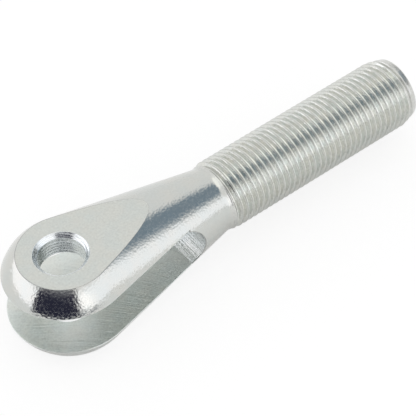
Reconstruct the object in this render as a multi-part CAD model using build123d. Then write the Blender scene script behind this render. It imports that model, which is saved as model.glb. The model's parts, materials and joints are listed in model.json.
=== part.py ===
"""Clevis rod end: a fork head and a threaded shank, turned and milled from one bar of steel.

The frame's origin is on the pin axis, midway between the ears. +X runs down the shank to its
threaded end, +Z runs along the pin, and the slot is cut through along Y. All sizes are in mm.
"""
from build123d import *
import math
import os

INCH = 25.4

# Shank: a 5/8-18 fine thread, drawn at its major diameter
thread_diameter = 0.625 * INCH
thread_pitch = INCH / 18
runout_turns = 1.5                  # the neck widens into the thread over these turns
pin_to_end = 3.5 * INCH             # pin axis to the end of the shank
point_length = 3.5                  # tapered point that starts the nut
point_drop = 0.95                   # the point's rim lies this far below the crests
point_round = 0.6                   # rounding of the point's rim

# Neck: where the tapering fork meets the first thread
neck_diameter = 14.65
pin_to_neck = 37.2
neck_round = 1.5                    # hollow fillet in the neck

# Fork head: a turned ball that runs tangent into a cone
head_diameter = 28.8
head_offset = 0.6                   # the ball's centre lies this far past the pin axis
width_across_flats = 21.0

# Slot between the ears
slot_width = 10.3
pin_to_slot_root = 29.3             # pin axis to the bottom of the slot's round root
cheek_overrun = 1.95                # the flat cheeks run this far past the root's centre

# Cross hole for the clevis pin
pin_hole_diameter = 9.9
countersink_diameter = 11.7
countersink_angle = 90              # included angle

# Broken edge round each outer flat
flat_edge_break = 0.25

# Worked out from the sizes above
thread_radius = thread_diameter / 2
point_radius = thread_radius - point_drop
neck_radius = neck_diameter / 2
head_radius = head_diameter / 2
slot_half = slot_width / 2
flat_height = width_across_flats / 2
root_centre = pin_to_slot_root - slot_half
cheek_end = root_centre + cheek_overrun
step_height = math.sqrt(slot_half**2 - cheek_overrun**2)    # where the round root meets the cheeks' end
flare_end = pin_to_neck + runout_turns * thread_pitch
cut_margin = head_radius            # how far the cutters stand clear of the work


def turned_blank():
    """Ball, cone, neck, shank and point, as one revolved profile."""
    neck_from_ball = pin_to_neck - head_offset
    reach = math.hypot(neck_from_ball, neck_radius)
    cone_angle = math.atan2(neck_from_ball, neck_radius) - math.acos(head_radius / reach)
    ball_tip = (head_offset - head_radius, 0)
    ball_top = (head_offset - head_radius * math.sin(math.pi / 4), head_radius * math.cos(math.pi / 4))
    tangent_point = (head_offset + head_radius * math.sin(cone_angle), head_radius * math.cos(cone_angle))
    neck = (pin_to_neck, neck_radius)
    point_rim = (pin_to_end, point_radius)

    with BuildSketch() as profile:
        with BuildLine():
            ThreePointArc(ball_tip, ball_top, tangent_point)
            Polyline(
                tangent_point,
                neck,
                (flare_end, thread_radius),
                (pin_to_end - point_length, thread_radius),
                point_rim,
                (pin_to_end, 0),
                ball_tip,
            )
        make_face()
        corners = profile.vertices()
        fillet(corners.sort_by_distance(Vector(*neck))[0], neck_round)
        fillet(profile.vertices().sort_by_distance(Vector(*point_rim))[0], point_round)
    return revolve(profile.sketch, axis=Axis.X)


def outer_flats():
    """Two cutters that leave the head flat above and below the ears."""
    length = cut_margin + head_radius - head_offset + pin_to_neck
    side = 2 * (head_radius + cut_margin)
    height = head_radius - flat_height + cut_margin
    middle = pin_to_neck - length / 2
    return [
        Pos(middle, 0, face * (flat_height + height / 2)) * Box(length, side, height)
        for face in (-1, 1)
    ]


def slot():
    """The milled gap between the ears, flat cheeks and round root, as one cutter through the head."""
    mouth = head_offset - head_radius - cut_margin
    with BuildSketch(Plane.XZ) as gap:
        with BuildLine():
            ThreePointArc((cheek_end, -step_height), (pin_to_slot_root, 0), (cheek_end, step_height))
            Polyline(
                (cheek_end, step_height),
                (cheek_end, slot_half),
                (mouth, slot_half),
                (mouth, -slot_half),
                (cheek_end, -slot_half),
                (cheek_end, -step_height),
            )
        make_face()
    return extrude(gap.sketch, amount=head_radius + cut_margin, both=True)


def pin_hole():
    """The bore through both ears, with a countersink at each outer flat."""
    bore = Cylinder(pin_hole_diameter / 2, 2 * (flat_height + cut_margin))
    slope = math.tan(math.radians(countersink_angle / 2))
    depth = (countersink_diameter - pin_hole_diameter) / 2 / slope
    sink = Cone(pin_hole_diameter / 2, countersink_diameter / 2, depth)
    upper = Pos(0, 0, flat_height - depth / 2) * sink
    return [bore, upper, Rot(180, 0, 0) * upper]


def broken_edges(body):
    """Round off the outer rim of each outer flat."""
    level_faces = body.faces().filter_by(Axis.Z).sort_by(Axis.Z)
    rims = level_faces[0].outer_wire().edges() + level_faces[-1].outer_wire().edges()
    return fillet(rims, flat_edge_break)


def clevis_rod_end():
    body = turned_blank() - slot()
    for cutter in outer_flats() + pin_hole():
        body -= cutter
    return broken_edges(body)


os.makedirs("parts", exist_ok=True)
export_step(clevis_rod_end(), "parts/clevis_rod_end.step")
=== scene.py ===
"""Clevis rod end in zinc-plated steel, laid out as a Blender add-on.

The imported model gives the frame: metres, the origin on the pin axis midway between the ears,
+X down the shank and +Z along the pin. The fork is built patch by patch from its own geometry,
a ball and a tangent cone cut by flats, a slot and a cross hole, with every edge rolled over.
The thread is made by Geometry Nodes and welded to the fork, as one closed piece.
"""
import json
import math
from typing import NamedTuple

import bmesh
import bpy
import numpy as np
from mathutils import Matrix, Vector


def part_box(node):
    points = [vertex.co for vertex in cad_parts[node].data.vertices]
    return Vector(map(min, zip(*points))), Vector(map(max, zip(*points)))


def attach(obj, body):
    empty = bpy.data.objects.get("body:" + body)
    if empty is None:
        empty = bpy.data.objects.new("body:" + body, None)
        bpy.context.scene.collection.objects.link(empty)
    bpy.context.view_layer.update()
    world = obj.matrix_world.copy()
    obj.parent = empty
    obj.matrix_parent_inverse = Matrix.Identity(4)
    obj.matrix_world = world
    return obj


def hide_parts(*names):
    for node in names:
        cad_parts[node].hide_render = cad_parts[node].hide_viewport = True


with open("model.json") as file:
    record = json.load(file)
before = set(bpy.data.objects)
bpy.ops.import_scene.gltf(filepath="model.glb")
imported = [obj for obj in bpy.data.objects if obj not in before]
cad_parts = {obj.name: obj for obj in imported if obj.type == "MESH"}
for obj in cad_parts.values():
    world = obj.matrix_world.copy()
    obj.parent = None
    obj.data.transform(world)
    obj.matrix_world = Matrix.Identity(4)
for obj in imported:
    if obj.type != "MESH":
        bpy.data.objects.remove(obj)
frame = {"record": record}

bl_info = {
    "name": "Clevis Rod End",
    "version": (1, 0, 0),
    "blender": (4, 5, 0),
    "location": "View3D > Sidebar > Rod End",
    "description": "Builds a zinc-plated clevis rod end with a rolled thread, and its studio stage",
    "category": "Object",
}

NODE = "clevis_rod_end"
BODY = "root"
PIECE = "rod_end"

MM = 0.001
INCH = 0.0254
THREADS_PER_INCH = 18

MOUNTS = {mount["name"]: mount for mount in frame["record"]["mounts"]}
CAD_LOW, CAD_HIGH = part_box(NODE)
THREAD = MOUNTS["shank_thread"]
THREAD_SPAN = THREAD["dims"]["length_mm"] * MM
THREAD_FIRST = THREAD["pos_m"][0] - THREAD_SPAN / 2
THREAD_LAST = THREAD["pos_m"][0] + THREAD_SPAN / 2

# The finishes, in the order of the piece's material slots
TURNED, FLAT, EDGE, MILLED, ROOT, DRILLED, THREADED, FACED = range(8)
FINISH_NAMES = (
    "zinc_turned", "zinc_flat", "zinc_flat_edge", "zinc_milled_slot",
    "zinc_slot_root", "zinc_drilled", "zinc_thread", "zinc_faced_end",
)


def length(name, default, description):
    """A size in metres that a user may change."""
    return bpy.props.FloatProperty(
        name=name, default=default, description=description, min=0.0, precision=5, unit="LENGTH"
    )


def count(name, default, description):
    return bpy.props.IntProperty(name=name, default=default, description=description, min=2)


def colour(name, default, description):
    return bpy.props.FloatVectorProperty(
        name=name, default=default, description=description, size=3, min=0.0, max=1.0, subtype="COLOR"
    )


class RodEndSizes(bpy.types.PropertyGroup):
    """The fork, the slot, the hole and the thread."""

    head_diameter: length("Ball Diameter", 28.8 * MM, "Diameter of the turned ball")
    head_offset: length("Ball Offset", 0.6 * MM, "How far the ball's centre lies past the pin axis")
    across_flats: length("Across Flats", CAD_HIGH.z - CAD_LOW.z, "Distance between the outer flats")
    slot_width: length("Slot Width", 10.3 * MM, "Gap between the ears")
    slot_root: length("Slot Root", 29.3 * MM, "Pin axis to the bottom of the slot")
    cheek_overrun: length("Cheek Overrun", 1.95 * MM, "How far the cheeks run past the root's centre")
    bore_diameter: length(
        "Bore", 2 * MOUNTS["pin_bore"]["dims"]["r_mm"] * MM, "Diameter of the hole for the clevis pin"
    )
    bore_length: length(
        "Bore Span", MOUNTS["pin_bore"]["dims"]["length_mm"] * MM, "From countersink to countersink"
    )
    countersink: length("Countersink", 11.7 * MM, "Diameter of the countersink at the flats")
    neck_diameter: length("Neck Diameter", 14.65 * MM, "Thinnest place, before the thread")
    neck_place: length("Neck Place", 37.2 * MM, "Pin axis to the neck")
    neck_round: length("Neck Fillet", 2.2 * MM, "Radius of the hollow fillet in the neck")
    flat_break: length("Flat Edge", 0.25 * MM, "Radius of the rolled edge round each flat")
    slot_break: length("Slot Edge", 0.15 * MM, "Radius of the deburred edges of the slot")
    hole_break: length("Hole Edge", 0.1 * MM, "Radius of the edges in the hole")
    thread_diameter: length("Thread Diameter", 2 * THREAD["dims"]["r_mm"] * MM, "Over the crests")
    thread_pitch: length("Thread Pitch", INCH / THREADS_PER_INCH, "From one crest to the next")
    point_drop: length("Point Drop", 0.95 * MM, "How far the point's rim lies below the crests")
    point_round: length("Point Rounding", 0.6 * MM, "Radius of the point's rim")
    quarter_steps: count("Quarter Steps", 24, "Facets in a quarter turn of the head and the shank")


class RodEndLook(bpy.types.PropertyGroup):
    """Colours of the plating and of the stage. Several plates are lightened or darkened copies, as
    painted light and shade.
    """

    zinc: colour("Zinc", (0.60, 0.602, 0.570), "Bright zinc plate on the turned faces")
    zinc_flat: colour("Zinc on the Flats", (0.612, 0.620, 0.583), "Plate on the flats and the end")
    # The edge colour below is darker than the plate: painted shade, drawing a dark outline along the
    # rolled edges.
    zinc_edge: colour("Zinc on the Edges", (0.44, 0.44, 0.42), "Dull plate on the rolled edges")
    # The slot, hole and root colours below are lighter than the plate: painted light that makes up for
    # the shade between the ears and inside the hole.
    zinc_slot: colour("Zinc in the Slot", (0.705, 0.725, 0.690), "Plate on the slot's milled cheeks")
    zinc_bore: colour("Zinc in the Hole", (0.76, 0.78, 0.78), "Plate on the bore and countersink")
    zinc_root: colour("Zinc in the Root", (0.765, 0.775, 0.765), "Plate on the slot's round end")
    # The thread's colour below is lighter than the plate, painted light against the shade in its
    # grooves; the crests' colour is darker, painted shade that dims their highlights.
    zinc_thread: colour("Zinc in the Thread", (0.70, 0.702, 0.662), "Plate on the thread's flanks")
    zinc_crest_darkened: colour("Zinc on the Crests", (0.505, 0.512, 0.48), "Duller plate on the thread's crests")
    zinc_flare: colour("Zinc on the Flare", (0.605, 0.61, 0.585), "Plate on the flare and the point")
    floor: colour("Floor", (0.18, 0.18, 0.18), "The table under the part, before its glow")


# ---------------------------------------------------------------- surface patches


class Skin:
    """The surface as patches: points, true normals, faces and the finish of each face."""

    def __init__(self):
        self.points, self.normals, self.faces, self.finishes = [], [], [], []

    def size(self):
        return sum(len(part) for part in self.points)

    def add(self, points, normals, faces, finish):
        """Take loose faces in, each turned so that it looks the way its normals do."""
        start = self.size()
        self.points.append(points)
        self.normals.append(normals)
        for face in faces:
            a, b, c = points[face[0]], points[face[1]], points[face[2]]
            if len(face) == 4:
                outward = np.cross(c - a, points[face[3]] - b)
            else:
                outward = np.cross(b - a, c - a)
            if outward @ normals[list(face)].sum(0) < 0:
                face = face[::-1]
            self.faces.append([start + corner for corner in face])
            self.finishes.append(finish)

    def grid(self, points, normals, finish):
        """Take in a patch whose points and normals are arrays of rows by columns by three."""
        faces = grid_faces(*points.shape[:2])
        self.add(points.reshape(-1, 3), normals.reshape(-1, 3), faces, finish)

    def mirrored(self, *signs):
        """A copy of this skin, reflected by the signs along X, Y and Z."""
        copy = Skin()
        signs = np.array(signs, float)
        copy.points = [part * signs for part in self.points]
        copy.normals = [part * signs for part in self.normals]
        turned_over = signs.prod() < 0
        copy.faces = [face[::-1] if turned_over else face for face in self.faces]
        copy.finishes = list(self.finishes)
        return copy

    def join(self, other):
        start = self.size()
        self.points += other.points
        self.normals += other.normals
        self.faces += [[start + corner for corner in face] for face in other.faces]
        self.finishes += other.finishes

    def take(self, mesh, finish):
        """Take in a mesh that Blender made. Its larger faces count for more in its normals."""
        start = self.size()
        points = np.zeros(3 * len(mesh.vertices))
        mesh.vertices.foreach_get("co", points)
        points = points.reshape(-1, 3)
        normals = np.zeros_like(points)
        for face in mesh.polygons:
            normals[list(face.vertices)] += np.array(face.normal) * face.area
        self.points.append(points)
        self.normals.append(unit(normals))
        self.faces += [[start + corner for corner in face.vertices] for face in mesh.polygons]
        self.finishes += [finish] * len(mesh.polygons)

    def build(self, name):
        """One closed mesh object, its doubles merged and its true normals kept."""
        mesh = bpy.data.meshes.new(name)
        mesh.from_pydata(np.concatenate(self.points).tolist(), [], self.faces)
        mesh.polygons.foreach_set("material_index", self.finishes)
        true_normal = mesh.attributes.new("true_normal", "FLOAT_VECTOR", "POINT")
        true_normal.data.foreach_set("vector", np.concatenate(self.normals).astype(np.float32).ravel())
        merge = bmesh.new()
        merge.from_mesh(mesh)
        bmesh.ops.remove_doubles(merge, verts=merge.verts, dist=WELD)
        bmesh.ops.dissolve_degenerate(merge, edges=merge.edges, dist=WELD)
        merge.to_mesh(mesh)
        merge.free()
        normals = np.zeros(3 * len(mesh.vertices), np.float32)
        mesh.attributes["true_normal"].data.foreach_get("vector", normals)
        mesh.attributes.remove(mesh.attributes["true_normal"])
        mesh.polygons.foreach_set("use_smooth", np.ones(len(mesh.polygons), bool))
        mesh.normals_split_custom_set_from_vertices(normals.reshape(-1, 3))
        return in_scene(name, mesh)


WELD = 2e-6     # metres; places nearer than this are one
NO_TURN = 1e-9  # radians; a smaller turn than this is none


def in_scene(name, data):
    """A new object with this mesh or camera, linked to the scene."""
    made = bpy.data.objects.new(name, data)
    bpy.context.scene.collection.objects.link(made)
    return made


def grid_faces(rows, columns):
    """The faces of a grid of points that are numbered row by row."""
    index = np.arange(rows * columns).reshape(rows, columns)
    quads = np.stack([index[:-1, :-1], index[1:, :-1], index[1:, 1:], index[:-1, 1:]], -1)
    return quads.reshape(-1, 4).tolist()


def unit(vectors):
    return vectors / np.linalg.norm(vectors, axis=-1, keepdims=True)


def turning(start, end, steps):
    """Unit vectors that turn evenly from start to end: (steps + 1, ..., 3)."""
    angle = np.arccos(np.clip((start * end).sum(-1, keepdims=True), -1, 1))
    share = np.linspace(0, 1, steps + 1).reshape((-1,) + (1,) * start.ndim)
    flat = angle < NO_TURN
    sine = np.where(flat, 1, np.sin(angle))
    turned = (np.sin((1 - share) * angle) * start + np.sin(share * angle) * end) / sine
    return np.where(flat, start, turned)


def rounded_corner(before, corner, after, radius, steps):
    """The arc that rounds a corner of a flat outline: its points, and its unit normals.

    The normals point to the left of the way that the outline runs.
    """
    arriving, leaving = unit(corner - before), unit(after - corner)
    turn = math.atan2(arriving[0] * leaving[1] - arriving[1] * leaving[0], arriving @ leaving)
    cut = radius * math.tan(abs(turn) / 2)
    side = math.copysign(1, turn)
    left = np.array([-arriving[1], arriving[0]])
    centre = corner - arriving * cut + left * radius * side
    angles = math.atan2(left[1], left[0]) + np.linspace(0, turn, steps + 1)
    normals = np.stack([np.cos(angles), np.sin(angles)], -1)
    return centre - normals * radius * side, normals


def revolved(radii, heights, normals, angles):
    """A profile of radius and place along X, turned about X: points and normals."""
    wave = np.stack([np.zeros_like(angles), np.cos(angles), np.sin(angles)], -1)
    axis = np.array([1.0, 0, 0])
    points = heights[:, None, None] * axis + radii[:, None, None] * wave
    facing = normals[:, :1, None] * axis + normals[:, 1:, None] * wave
    return points, facing


def end_to_end(row, first, *others):
    """The points and normals along one row of patches, each starting where the last one ends."""
    return [
        np.concatenate([first[part][row], *(patch[part][row][1:] for patch in others)])
        for part in (0, 1)
    ]


# ---------------------------------------------------------------- the fork


class Fork:
    """A quarter of the fork, the side y > 0 of the upper ear. Three mirror images complete it."""

    BALL_STEPS = 32
    TAPER_STEPS = 36
    WAIST_STEPS = 5
    ROOT_STEPS = 20
    CORNER_STEPS = 4
    EDGE_STEPS = 4
    HOLE_STEPS = 56
    ACROSS_STEPS = 8
    CONE_STEPS = 8
    NECK_STEPS = 10
    STEP_HOLLOW = 0.08 * MM     # fillet where a cheek meets the step at its end
    STEP_ROUND = 0.2 * MM       # rounding of the ridge where the step meets the round root

    def __init__(self, sizes):
        self.sizes = sizes
        self.rows = sizes.quarter_steps
        self.radius = sizes.head_diameter / 2
        self.centre = np.array([sizes.head_offset, 0, 0])
        self.flat = sizes.across_flats / 2
        self.slot = sizes.slot_width / 2
        neck_radius = sizes.neck_diameter / 2
        neck_from_ball = sizes.neck_place - sizes.head_offset
        reach = math.hypot(neck_from_ball, neck_radius)
        self.taper = math.atan2(neck_from_ball, neck_radius) - math.acos(self.radius / reach)
        self.slant, self.rise = math.sin(self.taper), math.cos(self.taper)
        self.seam = sizes.head_offset + self.radius * self.slant
        self.seam_radius = self.radius * self.rise
        self.skin = Skin()

    def cone_radius(self, x):
        return self.seam_radius - (x - self.seam) * math.tan(self.taper)

    def cone_place(self, radius):
        return self.seam + (self.seam_radius - radius) / math.tan(self.taper)

    def on_cone(self, x, angle):
        """Points of the cone and its normals there."""
        radius = self.cone_radius(x)
        points = np.stack([x, radius * np.cos(angle), radius * np.sin(angle)], -1)
        around = [self.rise * np.cos(angle), self.rise * np.sin(angle)]
        normals = np.stack([np.full_like(x, self.slant), *around], -1)
        return points, normals

    def edge_on_cone(self, x, height, edge):
        """Angle about X where a rolled edge, its centre line at this height, leaves the cone."""
        return np.arcsin(height / (self.cone_radius(x) - edge * self.rise))

    def slot_edge(self, x):
        return self.edge_on_cone(x, self.slot + self.sizes.slot_break, self.sizes.slot_break)

    def ball_part(self):
        """The ball, between the level of the slot and that of the flat."""
        edge, lip = self.sizes.flat_break, self.sizes.slot_break
        low = self.radius * (self.slot + lip) / (self.radius - lip)
        high = self.radius * (self.flat - edge) / (self.radius - edge)
        angles = np.linspace(
            math.asin(low / self.seam_radius), math.asin(high / self.seam_radius), self.rows + 1
        )
        levels = (self.seam_radius * np.sin(angles))[:, None]
        spread = np.sqrt(self.radius**2 - levels**2)
        to_seam = math.pi - np.arccos((self.seam - self.centre[0]) / spread)
        swing = to_seam * np.linspace(0, 1, self.BALL_STEPS + 1)[None]
        points = self.centre + np.stack(
            [-spread * np.cos(swing), spread * np.sin(swing), levels + 0 * swing], -1
        )
        return points, (points - self.centre) / self.radius

    def ruled_part(self, low_x, low_angle, high_x, high_angle):
        """A stretch of the cone between two boundaries, each a place and an angle per column."""
        share = np.linspace(0, 1, self.rows + 1)[:, None]
        x = low_x + (high_x - low_x) * share
        return self.on_cone(x, low_angle + (high_angle - low_angle) * share)

    def taper_part(self):
        """The cone beside the flat, out to the flat's tip."""
        edge = self.sizes.flat_break
        start = self.edge_on_cone(self.seam, self.flat - edge, edge)
        high = np.linspace(start, math.pi / 2, self.TAPER_STEPS + 1)
        x = self.cone_place((self.flat - edge) / np.sin(high) + edge * self.rise)
        return x, self.ruled_part(x, self.slot_edge(x), x, high)

    def slot_profile(self):
        """The slot's section from the end of a cheek to the middle of its round root.

        Points are (x, z) and the normals point into the slot.
        """
        sizes = self.sizes
        middle = np.array([sizes.slot_root - self.slot, 0])
        end = middle[0] + sizes.cheek_overrun
        hollow = np.array([end - self.STEP_HOLLOW, self.slot - self.STEP_HOLLOW])
        turn = np.linspace(0, math.pi / 2, self.CORNER_STEPS + 1)
        hollow_normals = -np.stack([np.sin(turn), np.cos(turn)], -1)
        ridge_x = end + self.STEP_ROUND
        ridge_reach = self.slot + self.STEP_ROUND
        ridge = np.array([ridge_x, math.sqrt(ridge_reach**2 - (ridge_x - middle[0]) ** 2)])
        toward_middle = unit(middle - ridge)
        ridge_normals = turning(np.array([-1.0, 0]), toward_middle, self.CORNER_STEPS)
        top = math.atan2(-toward_middle[1], -toward_middle[0])
        around = np.linspace(top, 0, self.ROOT_STEPS + 1)[1:]
        root_normals = -np.stack([np.cos(around), np.sin(around)], -1)
        points = np.concatenate([
            hollow - self.STEP_HOLLOW * hollow_normals,
            ridge + self.STEP_ROUND * ridge_normals,
            middle - self.slot * root_normals,
        ])
        return points, np.concatenate([hollow_normals, ridge_normals, root_normals])

    def root_part(self):
        """The slot's end: its section carried across, and the cone above its rolled edge."""
        lip = self.sizes.slot_break
        section, facing = self.slot_profile()
        inner = section - lip * facing
        low_x = inner[:, 0] + lip * self.slant
        across = np.sqrt((self.cone_radius(low_x) - lip * self.rise) ** 2 - inner[:, 1] ** 2)
        low_angle = np.arctan2(inner[:, 1], across)
        walk = np.concatenate([[0], np.cumsum(np.linalg.norm(np.diff(inner, axis=0), axis=1))])
        high_x = low_x[0] + (low_x[-1] - low_x[0]) * walk / walk[-1]
        cone = self.ruled_part(low_x, low_angle, high_x, np.full_like(high_x, math.pi / 2))
        share = np.linspace(1, 0, self.ACROSS_STEPS + 1)[:, None]
        points = np.stack([
            section[:, 0] + 0 * share, across * share, section[:, 1] + 0 * share,
        ], -1)
        normals = np.stack([facing[:, 0], 0 * across, facing[:, 1]], -1)
        return cone, (points, np.broadcast_to(normals, points.shape))

    def rolled_edge(self, points, normals, target, radius, finish):
        """Roll the surface over an edge, from its own normals to those of the next face."""
        turned = turning(normals, np.broadcast_to(target, normals.shape), self.EDGE_STEPS)
        rolled = points - radius * normals + radius * turned
        self.skin.grid(rolled, turned, finish)
        return rolled[-1]

    def level_face(self, outline, rim_radius, height, normal, finish):
        """The level face between an outline and the rim of the hole."""
        angles = np.linspace(0, math.pi, self.HOLE_STEPS + 1)
        rim = rim_radius * np.stack([-np.cos(angles), np.sin(angles)], -1)
        rim = np.column_stack([rim, np.full(len(rim), height)])
        swing = np.arctan2(outline[:, 1], -outline[:, 0])
        faces, i, j = [], 0, 0
        while i < len(outline) - 1 or j < len(rim) - 1:
            outer_next = i < len(outline) - 1 and (j == len(rim) - 1 or swing[i + 1] <= angles[j + 1])
            near = len(outline) + j
            if outer_next:
                faces.append([i, i + 1, near])
                i += 1
            else:
                faces.append([i, near, near + 1])
                j += 1
        points = np.concatenate([outline, rim])
        self.skin.add(points, np.broadcast_to(normal, points.shape).copy(), faces, finish)

    def hole(self):
        """The countersink and the bore of one ear, turned about the pin axis."""
        sizes = self.sizes
        bore, sink = sizes.bore_diameter / 2, sizes.countersink / 2
        corners = np.array([
            [self.radius, self.flat], [sink, self.flat], [bore, sizes.bore_length / 2],
            [bore, self.slot], [self.radius, self.slot],
        ])
        points, normals = [], []
        for before, corner, after in zip(corners, corners[1:], corners[2:]):
            arc, facing = rounded_corner(before, corner, after, sizes.hole_break, self.EDGE_STEPS)
            points.append(arc)
            normals.append(-facing)
        points, normals = np.concatenate(points), np.concatenate(normals)
        angles = np.linspace(0, math.pi, self.HOLE_STEPS + 1)
        outward = np.stack([-np.cos(angles), np.sin(angles), 0 * angles], -1)
        up = np.array([0, 0, 1.0])
        around = points[:, :1, None] * outward + points[:, 1:, None] * up
        facing = normals[:, :1, None] * outward + normals[:, 1:, None] * up
        self.skin.grid(around, facing, DRILLED)
        return points[0][0], points[-1][0]

    def neck_profile(self):
        """From the slot's root along the cone, through the neck's fillet, to the flare."""
        sizes = self.sizes
        start = np.array([sizes.slot_root + sizes.slot_break * (1 + self.slant), 0.0])
        start[1] = self.cone_radius(start[0])
        neck = np.array([sizes.neck_place, sizes.neck_diameter / 2])
        crest = np.array([THREAD_FIRST, sizes.thread_diameter / 2])
        arc, facing = rounded_corner(start, neck, crest, sizes.neck_round, self.NECK_STEPS)
        straight = start + (arc[0] - start) * np.linspace(0, 1, self.CONE_STEPS + 1)[:-1, None]
        cone_normals = np.broadcast_to([self.slant, self.rise], straight.shape)
        return np.concatenate([straight, arc]), np.concatenate([cone_normals, facing])

    def build(self):
        sizes, down, up = self.sizes, np.array([0, 0, -1.0]), np.array([0, 0, 1.0])
        ball = self.ball_part()
        taper_x, taper = self.taper_part()
        root, slot_end = self.root_part()
        waist_x = np.linspace(taper_x[-1], root[0][0, 0, 0], self.WAIST_STEPS + 1)
        waist = self.ruled_part(
            waist_x, self.slot_edge(waist_x), waist_x, np.full_like(waist_x, math.pi / 2)
        )
        for patch in (ball, taper, waist, root):
            self.skin.grid(*patch, TURNED)

        rim = end_to_end(-1, ball, taper)
        flat_outline = self.rolled_edge(*rim, up, sizes.flat_break, EDGE)
        lip = end_to_end(0, ball, taper, waist)
        cheek_outline = self.rolled_edge(*lip, down, sizes.slot_break, MILLED)
        self.rolled_edge(*end_to_end(0, root), slot_end[1][0], sizes.slot_break, EDGE)
        self.skin.grid(*slot_end, ROOT)

        sink_rim, bore_rim = self.hole()
        self.level_face(flat_outline, sink_rim, self.flat, up, FLAT)
        cheek_outline = np.concatenate([cheek_outline, slot_end[0][1:, 0]])
        self.level_face(cheek_outline, bore_rim, self.slot, down, MILLED)

        profile, profile_normals = self.neck_profile()
        angles = np.linspace(0, math.pi / 2, self.rows + 1)
        self.skin.grid(*revolved(profile[:, 1], profile[:, 0], profile_normals, angles), TURNED)
        return self.skin


# ---------------------------------------------------------------- node trees


class Nodes:
    """Adds nodes to a tree from left to right, and joins them up."""

    COLUMN_WIDTH = 190
    ROW_HEIGHT = 40
    ROWS = 7

    def __init__(self, tree):
        self.tree = tree
        self.across = 0

    def add(self, kind, inputs=None, **settings):
        """A new node, with its settings, and its inputs set or linked by name or number."""
        node = self.tree.nodes.new(kind)
        node.location = (self.across, -self.ROW_HEIGHT * (len(self.tree.nodes) % self.ROWS))
        self.across += self.COLUMN_WIDTH
        for name, value in settings.items():
            setattr(node, name, value)
        for name, value in (inputs or {}).items():
            self.feed(node.inputs[name], value)
        return node

    def feed(self, socket, value):
        """Set a socket to a value, or link it to another socket or to a node's first output."""
        if isinstance(value, bpy.types.Node):
            value = value.outputs[0]
        if isinstance(value, bpy.types.NodeSocket):
            self.tree.links.new(value, socket)
        else:
            socket.default_value = value

    def math(self, operation, *values, clamp=False):
        node = self.add("ShaderNodeMath", dict(enumerate(values)), operation=operation)
        node.use_clamp = clamp
        return node.outputs[0]

    def between(self, value, low, high, smooth=True):
        """0 up to low and 1 from high on. Low may be the larger of the two."""
        steps = "SMOOTHSTEP" if smooth else "LINEAR"
        inputs = {"Value": value, "From Min": low, "From Max": high}
        return self.add("ShaderNodeMapRange", inputs, interpolation_type=steps).outputs[0]

    def blend(self, share, first, second):
        """Goes from the first number to the second with the share."""
        inputs = {"Value": share, "To Min": first, "To Max": second}
        return self.add("ShaderNodeMapRange", inputs).outputs[0]

    def mix(self, share, first, second, way="MIX"):
        """Goes from the first colour to the second with the share."""
        node = self.add("ShaderNodeMix", data_type="RGBA", blend_type=way)
        self.feed(node.inputs["Factor"], share)
        self.feed(node.inputs["A"], first)
        self.feed(node.inputs["B"], second)
        return node.outputs["Result"]

    def split(self, vector):
        return self.add("ShaderNodeSeparateXYZ", {0: vector}).outputs

    def scaled(self, vector, scale):
        inputs = {"Vector": vector, "Scale": scale}
        return self.add("ShaderNodeVectorMath", inputs, operation="SCALE")

    def object_place(self):
        return self.add("ShaderNodeTexCoord").outputs["Object"]

    def off_axis(self, place):
        """How far a place, split into X, Y and Z, lies from the shank's axis."""
        square = self.math("ADD", self.math("POWER", place["Y"], 2), self.math("POWER", place["Z"], 2))
        return self.math("SQRT", square)


SOCKET_KINDS = {
    float: "NodeSocketFloat",
    int: "NodeSocketInt",
    bpy.types.Material: "NodeSocketMaterial",
}


def new_group(kind, name, inputs, outputs):
    """An empty node group: its nodes, its input sockets and its output node.

    The inputs are defaults by name. The outputs are names, of numbers unless it makes a mesh.
    """
    tree = bpy.data.node_groups.new(name, kind)
    for label, default in inputs.items():
        socket = SOCKET_KINDS[type(default)]
        made = tree.interface.new_socket(label, in_out="INPUT", socket_type=socket)
        made.default_value = default
    result = "NodeSocketGeometry" if kind == "GeometryNodeTree" else "NodeSocketFloat"
    for label in outputs:
        tree.interface.new_socket(label, in_out="OUTPUT", socket_type=result)
    nodes = Nodes(tree)
    given = nodes.add("NodeGroupInput").outputs
    return nodes, given, tree.nodes.new("NodeGroupOutput")


# ---------------------------------------------------------------- the thread


ROUND_STEPS = 4             # quarters in a turn
CREST_PLACE = 40.604 * MM   # a crest where it passes the +Y side
CREST_SHARE = 1 / 8         # of the pitch, the width of a crest
FLANK_SLOPE = math.sqrt(3)  # depth over width, for flanks 60 degrees apart
ROOT_SOFTNESS = 1.6         # how much rounder than the crest the root is

# The lines of the thread's grid, as shares of the pitch from the middle of a crest to that of a
# root. They lie close together where the profile bends.
GRID_LINES = (0.0, 0.034, 0.0625, 0.091, 0.161, 0.231, 0.301, 0.371, 0.405, 0.4475, 0.5)
PITCH_STEPS = 2 * (len(GRID_LINES) - 1)


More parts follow.
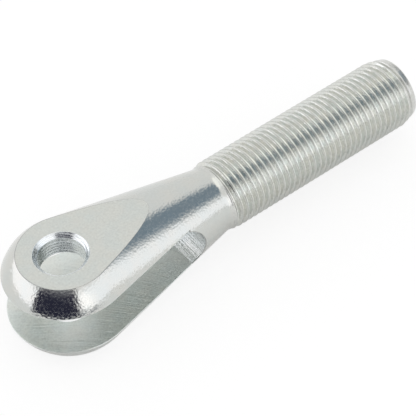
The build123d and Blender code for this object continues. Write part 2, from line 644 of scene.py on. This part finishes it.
def thread_tree(name, inputs):
    """Geometry Nodes for a right-hand 60 degree thread on a flared and pointed shank.

    The grid's lines follow the helix, so that no crest is ever cut across by a facet.
    """
    nodes, given, out = new_group("GeometryNodeTree", name, inputs, ["Geometry"])
    m = nodes.math
    grid = nodes.add("GeometryNodeMeshGrid", {
        "Size X": 1.0,
        "Size Y": 1.0,
        "Vertices X": m("ADD", given["Steps Along"], 1),
        "Vertices Y": m("ADD", given["Steps Around"], 1),
    })
    place = nodes.split(nodes.add("GeometryNodeInputPosition"))
    turn = m("ADD", place["Y"], 0.5)
    turns = turns_along(nodes, given, place["X"])
    helix = m("ADD", given["Crest Place"], m("MULTIPLY", turns, given["Pitch"]))
    x = m("ADD", helix, m("MULTIPLY", turn, given["Pitch"]))
    x = m("MINIMUM", m("MAXIMUM", x, given["Start"]), given["End"])
    radius = m("SUBTRACT", blank_radius(nodes, given, x), groove_depth(nodes, given, helix, x))

    angle = m("MULTIPLY", turn, 2 * math.pi)
    y = m("MULTIPLY", radius, m("COSINE", angle))
    z = m("MULTIPLY", radius, m("SINE", angle))
    position = nodes.add("ShaderNodeCombineXYZ", {"X": x, "Y": y, "Z": z})
    wrapped = nodes.add("GeometryNodeSetPosition", {"Geometry": grid, "Position": position})
    outward = nodes.add("GeometryNodeFlipFaces", {"Mesh": wrapped})
    closed = nodes.add("GeometryNodeMergeByDistance", {"Geometry": outward, "Distance": WELD})
    smooth = nodes.add("GeometryNodeSetShadeSmooth", {"Geometry": closed})
    real = nodes.add("GeometryNodeRealizeInstances", {"Geometry": smooth})
    painted = {"Geometry": real, "Material": given["Material"]}
    nodes.feed(out.inputs["Geometry"], nodes.add("GeometryNodeSetMaterial", painted))
    return nodes.tree


def turns_along(nodes, given, across):
    """How many pitches each line of the grid lies past the crest place, bunched at the bends.

    The grid's first line is on a crest, at least a pitch before the start.
    """
    m = nodes.math
    pitch = given["Pitch"]
    before = m("SUBTRACT", m("SUBTRACT", given["Start"], pitch), given["Crest Place"])
    first = m("FLOOR", m("DIVIDE", before, pitch))
    steps = m("MULTIPLY", m("ADD", across, 0.5), given["Steps Along"])
    turns = m("ADD", first, m("DIVIDE", steps, PITCH_STEPS))
    even = m("PINGPONG", turns, 0.5)
    side = m("SUBTRACT", 1, m("MULTIPLY", 2, m("GREATER_THAN", m("FRACT", turns), 0.5)))
    bunched = m("MULTIPLY", 0.5, grid_line_curve(nodes, m("MULTIPLY", even, 2)))
    return m("ADD", turns, m("MULTIPLY", side, m("SUBTRACT", bunched, even)))


def groove_depth(nodes, given, helix, x):
    """The rounded V between the crests, running in up to Full and out over a pitch past Last."""
    m = nodes.math
    pitch, crest, root = given["Pitch"], given["Crest Radius"], given["Root Radius"]
    from_crest = m("PINGPONG", m("SUBTRACT", helix, given["Crest Place"]), m("MULTIPLY", pitch, 0.5))
    flank = m("SUBTRACT", from_crest, m("MULTIPLY", pitch, CREST_SHARE / 2))
    vee = m("SUBTRACT", crest, m("MULTIPLY", flank, FLANK_SLOPE))
    groove = m("SMOOTH_MAX", vee, root, m("MULTIPLY", given["Rounding"], ROOT_SOFTNESS))
    groove = m("SUBTRACT", crest, m("SMOOTH_MIN", groove, crest, given["Rounding"]))
    running_in = nodes.between(x, given["Start"], given["Full"])
    running_out = nodes.between(x, m("ADD", given["Last"], pitch), given["Last"])
    return m("MULTIPLY", groove, m("MULTIPLY", running_in, running_out))


def blank_radius(nodes, given, x):
    """The shank before it is threaded: a flare, the full size, and the taper of the point."""
    crest = given["Crest Radius"]
    flare = nodes.between(x, given["Start"], given["Flare End"], smooth=False)
    flare = nodes.blend(flare, given["Start Radius"], crest)
    taper = nodes.between(x, given["Point"], given["End"], smooth=False)
    taper = nodes.blend(taper, crest, given["End Radius"])
    return nodes.math("MINIMUM", flare, taper)


def grid_line_curve(nodes, even):
    """Bunches evenly spaced shares of half a pitch into the grid's lines."""
    node = nodes.add("ShaderNodeFloatCurve", {"Value": even})
    curve = node.mapping.curves[0]
    curve.points[-1].location = (1, 1)
    for number, line in enumerate(GRID_LINES[1:-1], 1):
        curve.points.new(number / (len(GRID_LINES) - 1), 2 * line)
    for point in curve.points:
        point.handle_type = "VECTOR"
    node.mapping.update()
    return node.outputs[0]


def grown(name, tree, values):
    """The plain mesh that a Geometry Nodes tree makes, with its named inputs set to the values."""
    seed = in_scene(name, bpy.data.meshes.new("seed"))
    modifier = seed.modifiers.new(name, "NODES")
    modifier.node_group = tree
    for item in tree.interface.items_tree:
        if item.in_out == "INPUT" and item.name in values:
            modifier[item.identifier] = values[item.name]
    bpy.context.view_layer.update()
    evaluated = seed.evaluated_get(bpy.context.evaluated_depsgraph_get())
    mesh = bpy.data.meshes.new_from_object(evaluated)
    seed.modifiers.remove(modifier)
    bpy.data.objects.remove(seed)
    mesh.name = name
    return mesh


# ---------------------------------------------------------------- operators


def settings(context):
    return context.scene.rod_end_sizes, context.scene.rod_end_look


def material(name):
    """The material of this name, made if it isn't there yet."""
    made = bpy.data.materials.get(name) or bpy.data.materials.new(name)
    made.use_nodes = True
    return made


def emptied(paint):
    """The nodes of a material, cleared."""
    paint.node_tree.nodes.clear()
    return Nodes(paint.node_tree)


class ThreadBuilder(bpy.types.Operator):
    """Grow the rolled thread by Geometry Nodes, from the neck's flare to the rim of the point"""

    bl_idname = "rod_end.thread"
    bl_label = "Thread"

    def execute(self, context):
        sizes, _ = settings(context)
        inputs = thread_inputs(sizes)
        mesh = grown(THREAD_NAME, thread_tree("rolled_thread", inputs), inputs)
        if len(mesh.polygons) < sizes.quarter_steps:
            raise RuntimeError("the thread's tree made no surface")
        return {"FINISHED"}


def thread_inputs(sizes):
    """What the thread's tree is given, by name."""
    start = Fork(sizes).neck_profile()[0][-1]
    rim = point_profile(sizes)[0][0]
    crest = sizes.thread_diameter / 2
    pitches = math.ceil((rim[0] - start[0]) / sizes.thread_pitch) + 2
    return {
        "Material": material(FINISH_NAMES[THREADED]),
        "Pitch": sizes.thread_pitch,
        "Crest Radius": crest,
        "Root Radius": crest - THREAD_DEPTH * sizes.thread_pitch,
        "Rounding": THREAD_ROUNDING,
        "Crest Place": CREST_PLACE,
        "Start": float(start[0]),
        "Start Radius": float(start[1]),
        "Flare End": THREAD_FIRST,
        "Full": THREAD_FIRST + RUN_IN * sizes.thread_pitch,
        "Last": THREAD_LAST + RUN_OUT * sizes.thread_pitch,
        "End": float(rim[0]),
        "End Radius": float(rim[1]),
        "Point": THREAD_LAST,
        "Steps Along": pitches * PITCH_STEPS,
        "Steps Around": ROUND_STEPS * sizes.quarter_steps,
    }


class ForkBuilder(bpy.types.Operator):
    """Build the fork and the point, and weld them to the thread as one closed piece"""

    bl_idname = "rod_end.fork"
    bl_label = "Fork and Point"

    def execute(self, context):
        sizes, _ = settings(context)
        quarter = Fork(sizes).build()
        profile, normals = point_profile(sizes)
        angles = np.linspace(0, math.pi / 2, sizes.quarter_steps + 1)
        rim, face = slice(0, POINT_STEPS + 1), slice(POINT_STEPS, None)
        for part, finish in ((rim, THREADED), (face, FACED)):
            turned = revolved(profile[part, 1], profile[part, 0], normals[part], angles)
            quarter.grid(*turned, finish)
        skin = Skin()
        for signs in ((1, 1, 1), (1, -1, 1), (1, 1, -1), (1, -1, -1)):
            skin.join(quarter.mirrored(*signs))
        skin.take(bpy.data.meshes[THREAD_NAME], THREADED)
        piece = skin.build(PIECE)
        for name in FINISH_NAMES:
            piece.data.materials.append(material(name))
        open_edges = open_edge_count(piece.data)
        if open_edges:
            raise RuntimeError(f"the rod end isn't closed: {open_edges} open edges")
        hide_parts(NODE)
        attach(piece, BODY)
        return {"FINISHED"}


THREAD_NAME = "rod_end_thread"
THREAD_DEPTH = 0.6134           # of the pitch, for a root as round as a rolled one
THREAD_ROUNDING = 0.07 * MM
RUN_IN = -0.3                   # pitches from the end of the flare to the full thread
RUN_OUT = 0.8                   # pitches from the start of the taper to the last full groove
POINT_STEPS = 6
FACE_RINGS = 10


def point_profile(sizes):
    """The rounded rim of the point, and its flat face in to the middle."""
    crest = sizes.thread_diameter / 2
    corner = np.array([CAD_HIGH.x, crest - sizes.point_drop])
    middle = np.array([CAD_HIGH.x, 0])
    taper = np.array([THREAD_LAST, crest])
    arc, facing = rounded_corner(taper, corner, middle, sizes.point_round, POINT_STEPS)
    face = arc[-1] + (middle - arc[-1]) * np.linspace(0, 1, FACE_RINGS + 1)[1:, None]
    return np.concatenate([arc, face]), np.concatenate([facing, np.tile([1.0, 0], (FACE_RINGS, 1))])


def open_edge_count(mesh):
    check = bmesh.new()
    check.from_mesh(mesh)
    found = sum(1 for edge in check.edges if len(edge.link_faces) != 2)
    check.free()
    return found


class StageBuilder(bpy.types.Operator):
    """Set out the pale floor, the soft light with the cards that the metal reflects, and the camera"""

    bl_idname = "rod_end.stage"
    bl_label = "Stage"

    def execute(self, context):
        _, look = settings(context)
        world = bpy.data.worlds.new("studio")
        world.use_nodes = True
        world.node_tree.nodes["Background"].inputs["Color"].default_value = (1, 1, 1, 1)
        context.scene.world = world
        lay_floor(look)
        for card in STUDIO_CARDS:
            hang_card(card)
        context.scene.camera = place_camera()
        context.scene.view_settings.view_transform = "Standard"
        return {"FINISHED"}


FLOOR_SIZE = 6.0
FLOOR_GAP = 0.02 * MM
FLOOR_GLOW = 0.83       # lifts the table to white for the camera, where no shadow falls
MIRRORED_TONE = 0.97    # the table as it lights the metal and shows in it
MIRRORED_GLOW = 0.05


def lay_floor(look):
    """The table, which the camera sees white and the metal reflects as white paper."""
    bpy.ops.mesh.primitive_plane_add(size=FLOOR_SIZE, location=(0, 0, CAD_LOW.z - FLOOR_GAP))
    floor = bpy.context.active_object
    floor.name = "floor"
    paper = material("floor_paper")
    nodes = emptied(paper)
    rays = nodes.add("ShaderNodeLightPath").outputs
    mirrored = nodes.math("ADD", rays["Is Glossy Ray"], rays["Is Transmission Ray"], clamp=True)
    glow = nodes.math("MULTIPLY", rays["Is Camera Ray"], FLOOR_GLOW)
    glow = nodes.math("ADD", glow, nodes.math("MULTIPLY", mirrored, MIRRORED_GLOW))
    white_paper = (MIRRORED_TONE, MIRRORED_TONE, MIRRORED_TONE, 1)
    tone = nodes.mix(rays["Is Camera Ray"], white_paper, (*look.floor, 1))
    diffuse = nodes.add("ShaderNodeBsdfDiffuse", {"Color": tone})
    glow = nodes.add("ShaderNodeEmission", {"Strength": glow})
    both = nodes.add("ShaderNodeAddShader", {0: diffuse, 1: glow})
    nodes.add("ShaderNodeOutputMaterial", {"Surface": both})
    floor.data.materials.append(paper)


class Card(NamedTuple):
    """A card bent round the part, which shows only in the metal's reflections.

    The angles are in degrees, seen from its middle: azimuths are counted from +X to +Y, and the
    soft edges fade in over the angles given for its two sides, and for its bottom and top.
    """

    name: str
    colour: tuple
    middle: Vector
    radius: float
    azimuths: tuple
    heights: tuple
    soft_sides: tuple
    soft_ends: tuple
    lean: float = 0.0       # how much further round it stands for each degree of height


STUDIO_MIDDLE = Vector((0.037, 0, 0))
BALL_MIDDLE = Vector((0.0006, 0, 0))
HARD = 0.01             # degrees; an edge that fades over this looks sharp

STUDIO_CARDS = (
    Card(
        "dark_gap", (0.033, 0.034, 0.059), BALL_MIDDLE, radius=0.12,
        azimuths=(-183, -101), heights=(-7, 77), soft_sides=(10, 12), soft_ends=(6, 51),
    ),
    Card(
        "dark_skirting", (0.30, 0.32, 0.36), BALL_MIDDLE, radius=0.12,
        azimuths=(-112, -64), heights=(-2.5, 4), soft_sides=(4, 30), soft_ends=(2.5, 2.5),
    ),
    Card(
        "right_softbox", (1.385, 1.39, 1.44), STUDIO_MIDDLE, radius=1.4,
        azimuths=(-108, -33), heights=(2, 44), soft_sides=(2, 10), soft_ends=(4, 16),
    ),
    Card(
        "left_softbox", (1.55, 1.53, 1.58), STUDIO_MIDDLE, radius=1.4,
        azimuths=(106, 181), heights=(-4, 32), soft_sides=(8, 3), soft_ends=(4, 8),
    ),
    Card(
        "softbox_core", (1.70, 1.67, 1.69), STUDIO_MIDDLE, radius=1.35,
        azimuths=(-109, -72), heights=(3, 38), soft_sides=(2, 26), soft_ends=(4, 16),
    ),
    Card(
        "overhead", (1.42, 1.42, 1.39), STUDIO_MIDDLE, radius=1.4,
        azimuths=(-180, 180), heights=(66, 90), soft_sides=(HARD, HARD), soft_ends=(4, HARD),
    ),
    Card(
        "top_flag", (0.27, 0.34, 0.41), STUDIO_MIDDLE, radius=1.3, lean=-0.6,
        azimuths=(-54, 24), heights=(18, 67), soft_sides=(26, 22), soft_ends=(12, 15),
    ),
    Card(
        "far_flag", (0.10, 0.11, 0.10), STUDIO_MIDDLE, radius=1.2,
        azimuths=(-26, 40), heights=(1, 20), soft_sides=(5, 8), soft_ends=(2, 5),
    ),
)
CARD_COLUMNS, CARD_ROWS = 25, 13


def hang_card(card):
    mesh = card_mesh(card)
    mesh.materials.append(card_paint(card))
    piece = in_scene(card.name, mesh)
    piece.visible_camera = False
    piece.visible_diffuse = False
    piece.visible_shadow = False


def card_mesh(card):
    """The bent card, with its shares across and up as a UV map."""
    across, up = np.meshgrid(np.linspace(0, 1, CARD_COLUMNS), np.linspace(0, 1, CARD_ROWS))
    (left, right), (low, high) = card.azimuths, card.heights
    height = low + (high - low) * up
    azimuth = left + (right - left) * across + card.lean * (height - (low + high) / 2)
    azimuth, height = np.radians(azimuth), np.radians(height)
    ring = card.radius * np.cos(height)
    points = [ring * np.cos(azimuth), ring * np.sin(azimuth), card.radius * np.sin(height)]
    points = np.stack(points, -1).reshape(-1, 3) + np.array(card.middle)
    mesh = bpy.data.meshes.new(card.name)
    mesh.from_pydata(points.tolist(), [], grid_faces(CARD_ROWS, CARD_COLUMNS))
    corners = np.zeros(len(mesh.loops), np.int32)
    mesh.loops.foreach_get("vertex_index", corners)
    shares = np.stack([across.ravel(), up.ravel()], -1)[corners]
    mesh.uv_layers.new(name="card").data.foreach_set("uv", shares.astype(np.float32).ravel())
    return mesh


def card_paint(card):
    """Even light that fades out towards the card's edges."""
    paint = material(card.name)
    nodes = emptied(paint)
    uv = nodes.split(nodes.add("ShaderNodeTexCoord").outputs["UV"])
    mask = 1.0
    edges = (uv["X"], card.azimuths, card.soft_sides), (uv["Y"], card.heights, card.soft_ends)
    for share, (low, high), (first, last) in edges:
        span = high - low
        mask = nodes.math("MULTIPLY", mask, nodes.between(share, 0, first / span))
        mask = nodes.math("MULTIPLY", mask, nodes.between(share, 1, 1 - last / span))
    clear = nodes.add("ShaderNodeBsdfTransparent")
    light = nodes.add("ShaderNodeEmission", {"Color": (*card.colour, 1)})
    mixed = nodes.add("ShaderNodeMixShader", {0: mask, 1: clear, 2: light})
    nodes.add("ShaderNodeOutputMaterial", {"Surface": mixed})
    return paint


CAMERA_PLACE = Vector((-0.130026, -0.244586, 0.326981))
CAMERA_AIM = Vector((0.03649, 0, -0.00212))
CAMERA_ROLL = -4.45     # degrees
CAMERA_LENS = 180.73    # mm
SENSOR_WIDTH = 36       # mm
CAMERA_CLIP = (0.01, 20)


def place_camera():
    camera = in_scene("camera", bpy.data.cameras.new("camera"))
    view = (CAMERA_AIM - CAMERA_PLACE).to_track_quat("-Z", "Y").to_matrix()
    roll = Matrix.Rotation(math.radians(CAMERA_ROLL), 3, "Z")
    camera.matrix_world = Matrix.Translation(CAMERA_PLACE) @ (view @ roll).to_4x4()
    camera.data.lens = CAMERA_LENS
    camera.data.sensor_width = SENSOR_WIDTH
    camera.data.clip_start, camera.data.clip_end = CAMERA_CLIP
    return camera


class FinishPainter(bpy.types.Operator):
    """Give each machined surface its own zinc-plated finish, some plates lightened or darkened as
    painted light and shade
    """

    bl_idname = "rod_end.finish"
    bl_label = "Zinc Plate"

    def execute(self, context):
        _, look = settings(context)
        grain = crystal_grain()
        marks = {"rings": lathe_rings(), "sweeps": cutter_sweeps()}
        for finish in FINISHES:
            paint_plate(finish, look, grain, marks[finish.marks])
        return {"FINISHED"}


MICRON = 1e-6
ALONG_SHANK, ALONG_PIN, OUT_FROM_SHANK = 0.0, 1.0, 2.0  # the way in which rings follow on


class Finish(NamedTuple):
    """One machined surface: its plate, the plate's grain, and the tool's marks."""

    slot: int
    zinc: str               # the name of its colour in the look
    grain_size: float       # mm
    grain_depth: float      # microns
    speckle: float          # how much of the grain's change of tone shows
    roughness: tuple        # from the grain's smoothest spots to its roughest
    marks: str              # rings or sweeps
    spacing: float          # mm from mark to mark, about
    marks_depth: float      # microns
    axis: float = None      # for rings


FINISHES = (
    Finish(TURNED, "zinc", 0.46, 25.0, 0.18, (0.09, 0.22), "rings", 0.25, 3.0, ALONG_SHANK),
    Finish(FLAT, "zinc_flat", 0.50, 50.0, 0.4, (0.34, 0.44), "sweeps", 0.30, 30.0),
    # Rolled edges: their darker plate colour is painted shade, a dark outline.
    Finish(EDGE, "zinc_edge", 0.40, 20.0, 0.8, (0.14, 0.24), "sweeps", 0.30, 5.0),
    # The milled slot, the round root and the drilled hole take plate colours lightened as painted light,
    # against the shade in these recesses.
    Finish(MILLED, "zinc_slot", 0.42, 24.0, 0.5, (0.34, 0.48), "sweeps", 0.50, 100.0),
    Finish(ROOT, "zinc_root", 0.45, 40.0, 0.8, (0.30, 0.44), "rings", 0.24, 230.0, ALONG_PIN),
    Finish(DRILLED, "zinc_bore", 0.40, 16.0, 0.4, (0.16, 0.30), "rings", 0.45, 150.0, ALONG_PIN),
    # The thread takes a plate colour lightened as painted light.
    Finish(THREADED, "zinc_thread", 0.24, 26.0, 0.9, (0.05, 0.11), "rings", 0.20, 120.0, ALONG_SHANK),
    Finish(FACED, "zinc_flat", 0.45, 16.0, 0.3, (0.24, 0.32), "rings", 0.4, 70.0, OUT_FROM_SHANK),
)


SPECKLE_SCALE = 1.1         # against the crystals, so that the two don't line up
CLOUD_SCALE = 0.09          # a cloud is about eleven crystals wide
CLOUD_BAND = (0.33, 0.67)   # the noise between which the clouds fade in
SPECKLE_BAND = (0.25, 0.75)


def crystal_grain():
    """Shared group: the fine grain of the plate and its slow change of tone."""
    names = ("Height", "Tone", "Speckle")
    nodes, given, out = new_group("ShaderNodeTree", "zinc_crystal_grain", {"Size": 0.3 * MM}, names)
    fine = nodes.scaled(nodes.object_place(), nodes.math("DIVIDE", 1, given["Size"]))
    crystal = nodes.add("ShaderNodeTexNoise", {"Vector": fine, "Scale": 1.0, "Detail": 0.0})
    speckle = nodes.add("ShaderNodeTexNoise", {
        "Vector": fine, "Scale": SPECKLE_SCALE, "Detail": 0.0,
    })
    cloud = nodes.add("ShaderNodeTexNoise", {
        "Vector": fine, "Scale": CLOUD_SCALE, "Detail": 3.0, "Roughness": 0.6,
    })
    nodes.feed(out.inputs["Height"], crystal)
    nodes.feed(out.inputs["Tone"], nodes.between(cloud, *CLOUD_BAND))
    nodes.feed(out.inputs["Speckle"], nodes.between(speckle, *SPECKLE_BAND, smooth=False))
    return nodes.tree


RING_WANDER = 60.0      # how many times a metre a ring's noise changes along its length
SWEEP_WANDER = 90.0
CUTTER_RADIUS = 88 * MM     # of the wide disc that mills the slot, crossing along Y
CUTTER_FRONT = 29.5 * MM    # how far down the shank the disc reaches


def lathe_rings():
    """Shared group: fine tool rings about the shank, in the hole, or across a faced end."""
    inputs = {"Axis": ALONG_SHANK, "Spacing": 0.3}
    nodes, given, out = new_group("ShaderNodeTree", "lathe_rings", inputs, ["Height"])
    m = nodes.math
    place = nodes.object_place()
    split = nodes.split(place)
    across = nodes.off_axis(split)
    past_shank = m("GREATER_THAN", given["Axis"], (ALONG_SHANK + ALONG_PIN) / 2)
    past_pin = m("GREATER_THAN", given["Axis"], (ALONG_PIN + OUT_FROM_SHANK) / 2)
    along = m("ADD", split["X"], m("MULTIPLY", past_shank, m("SUBTRACT", split["Z"], split["X"])))
    along = m("ADD", along, m("MULTIPLY", past_pin, m("SUBTRACT", across, split["Z"])))
    steps = m("DIVIDE", along, m("MULTIPLY", given["Spacing"], MM))
    rings = wandering_lines(nodes, place, steps, RING_WANDER, detail=2.0)
    nodes.feed(out.inputs["Height"], rings)
    return nodes.tree


def cutter_sweeps():
    """Shared group: the arcs that a wide milling disc leaves as it crosses along Y."""
    nodes, given, out = new_group("ShaderNodeTree", "cutter_sweeps", {"Spacing": 0.4}, ["Height"])
    m = nodes.math
    place = nodes.object_place()
    split = nodes.split(place)
    reach = m("ADD", split["X"], CUTTER_RADIUS - CUTTER_FRONT)
    rise = m("SUBTRACT", CUTTER_RADIUS**2, m("POWER", reach, 2))
    rise = m("SQRT", m("MAXIMUM", rise, 0.0))
    sweep = m("SUBTRACT", split["Y"], rise)
    steps = m("DIVIDE", sweep, m("MULTIPLY", given["Spacing"], MM))
    arcs = wandering_lines(nodes, place, steps, SWEEP_WANDER, detail=2.5)
    nodes.feed(out.inputs["Height"], arcs)
    return nodes.tree


def wandering_lines(nodes, place, steps, wander, detail):
    """Noise drawn out into lines, about one to a step, that change slowly along their length."""
    drift = nodes.scaled(place, wander)
    line = nodes.add("ShaderNodeCombineXYZ", {"X": steps})
    line = nodes.add("ShaderNodeVectorMath", {0: line, 1: drift}, operation="ADD")
    inputs = {"Vector": line, "Scale": 1.0, "Detail": detail, "Roughness": 0.6}
    return nodes.add("ShaderNodeTexNoise", inputs)


COOL_SHIFT = (0.96, 0.99, 1.01)     # how the plate drifts to a cooler tone in soft patches
SPECKLE_TONES = (0.86, 1.14)        # how far the grain darkens and lightens the plate
SHINE_SPECKLES = (0.3, 0.8)         # the speckles between which the roughness rises


def paint_plate(finish, look, grain, marks):
    """The material of one finish: zinc plate with its grain, and the tool's marks in it."""
    nodes = emptied(material(FINISH_NAMES[finish.slot]))
    crystals = nodes.add("ShaderNodeGroup", node_tree=grain)
    crystals.inputs["Size"].default_value = finish.grain_size * MM
    tooling = nodes.add("ShaderNodeGroup", node_tree=marks)
    tooling.inputs["Spacing"].default_value = finish.spacing
    if finish.axis is not None:
        tooling.inputs["Axis"].default_value = finish.axis
    zinc = getattr(look, finish.zinc)
    cool = [channel * shift for channel, shift in zip(zinc, COOL_SHIFT)]
    tint = nodes.mix(crystals.outputs["Tone"], (*zinc, 1), (*cool, 1))
    mark_height = tooling.outputs["Height"]
    if finish.slot == THREADED:
        tint, mark_height = dress_thread(nodes, look, tint, mark_height)
    grey = nodes.blend(crystals.outputs["Speckle"], *SPECKLE_TONES)
    speckles = nodes.add("ShaderNodeCombineXYZ", {0: grey, 1: grey, 2: grey})
    tint = nodes.mix(finish.speckle, tint, speckles, "MULTIPLY")
    rough = nodes.between(crystals.outputs["Speckle"], *SHINE_SPECKLES)
    bumps = nodes.add("ShaderNodeBump", {
        "Distance": finish.grain_depth * MICRON, "Height": crystals.outputs["Height"],
    })
    bumps = nodes.add("ShaderNodeBump", {
        "Distance": finish.marks_depth * MICRON, "Height": mark_height, "Normal": bumps,
    })
    shader = nodes.add("ShaderNodeBsdfPrincipled", {
        "Base Color": tint,
        "Metallic": 1.0,
        "Roughness": nodes.blend(rough, *finish.roughness),
        "Normal": bumps,
    })
    nodes.add("ShaderNodeOutputMaterial", {"Surface": shader})


# The crests' darker plate is painted shade that dims their highlights.
CREST_SHADE_BAND = (7.80 * MM, 7.92 * MM)         # radii between which the crests' plate takes over
THREAD_BEGINS = (38.6 * MM, 39.1 * MM)      # where the flare's finish gives way to the thread's
THREAD_ENDS = (86.7 * MM, 86.3 * MM)        # the same at the point, from the thread's outer end
BLANK_MARKS, THREAD_MARKS = 0.8, 0.22       # shares of the tool marks' depth


def dress_thread(nodes, look, tint, mark_height):
    """Plain plate and deep marks on the flare and the point; on the thread, the plate given, lightened
    as painted light, and on the crests a darker plate, painted shade that dims their highlights.
    """
    place = nodes.split(nodes.object_place())
    begun = nodes.between(place["X"], *THREAD_BEGINS)
    threaded = nodes.math("MULTIPLY", begun, nodes.between(place["X"], *THREAD_ENDS))
    mark_height = nodes.math(
        "MULTIPLY", mark_height, nodes.blend(threaded, BLANK_MARKS, THREAD_MARKS)
    )
    # The thread's lightened plate, painted light, gives way to the plain plate on the flare and the
    # point.
    tint = nodes.mix(threaded, (*look.zinc_flare, 1), tint)
    # Painted shade: the crests are darkened to dim their highlights.
    crest = nodes.between(nodes.off_axis(place), *CREST_SHADE_BAND)
    return nodes.mix(crest, tint, (*look.zinc_crest_darkened, 1)), mark_height


class RodEndPanel(bpy.types.Panel):
    """Sizes, colours and the build steps, in the 3D view's sidebar"""

    bl_idname = "VIEW3D_PT_rod_end"
    bl_label = "Rod End"
    bl_space_type = "VIEW_3D"
    bl_region_type = "UI"
    bl_category = "Rod End"

    def draw(self, context):
        for group in settings(context):
            box = self.layout.box()
            for name in group.__annotations__:
                box.prop(group, name)
        for step in BUILD_STEPS:
            self.layout.operator(step.bl_idname)


BUILD_STEPS = (ThreadBuilder, ForkBuilder, FinishPainter, StageBuilder)
CLASSES = (RodEndSizes, RodEndLook, *BUILD_STEPS, RodEndPanel)


def register():
    for each in CLASSES:
        bpy.utils.register_class(each)
    bpy.types.Scene.rod_end_sizes = bpy.props.PointerProperty(type=RodEndSizes)
    bpy.types.Scene.rod_end_look = bpy.props.PointerProperty(type=RodEndLook)


def unregister():
    del bpy.types.Scene.rod_end_look
    del bpy.types.Scene.rod_end_sizes
    for each in reversed(CLASSES):
        bpy.utils.unregister_class(each)


def main():
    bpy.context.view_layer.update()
    register()
    bpy.ops.rod_end.thread()
    bpy.ops.rod_end.fork()
    bpy.ops.rod_end.finish()
    bpy.ops.rod_end.stage()


if __name__ == "__main__":
    main()
